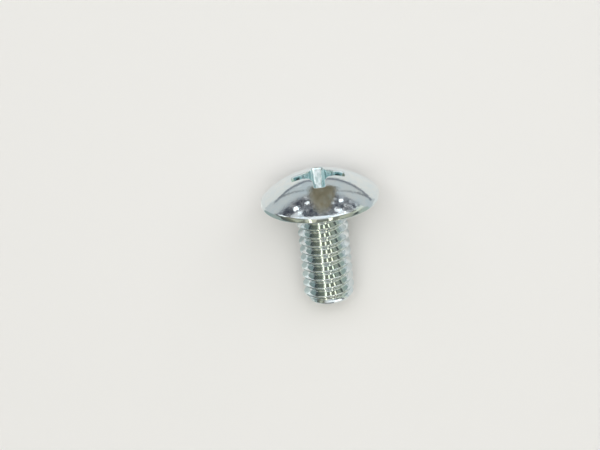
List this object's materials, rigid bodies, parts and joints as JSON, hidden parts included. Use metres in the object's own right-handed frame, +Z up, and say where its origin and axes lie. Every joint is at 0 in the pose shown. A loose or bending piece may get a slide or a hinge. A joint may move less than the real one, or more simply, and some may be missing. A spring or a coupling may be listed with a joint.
{
  "type": "truss head machine screw",
  "caption": "Short machine screw with a wide low domed head and a cross recess, that clamps sheet metal or covers to a tapped hole.",
  "frame": {"origin": "middle of the base, on the surface that the screw lies on: the centre of its bounding box in X and Y, at its lowest point", "axes": "+Z up from the surface, +Y along the screw as seen from above, from the tip to the head, +X to the right as seen from the tip. The screw's own axis lies in the YZ plane and rises 18.7 degrees towards the head, because the screw rests on the rim of its head and on its last threads"},
  "size_m": [0.009, 0.0106, 0.0087],
  "materials": {
    "zinc_plate": "bright zinc plate on steel, clear passivated with a faint blue and green tint"
  },
  "bodies": {
    "root": {"screw": "zinc_plate"}
  },
  "joints": []
}
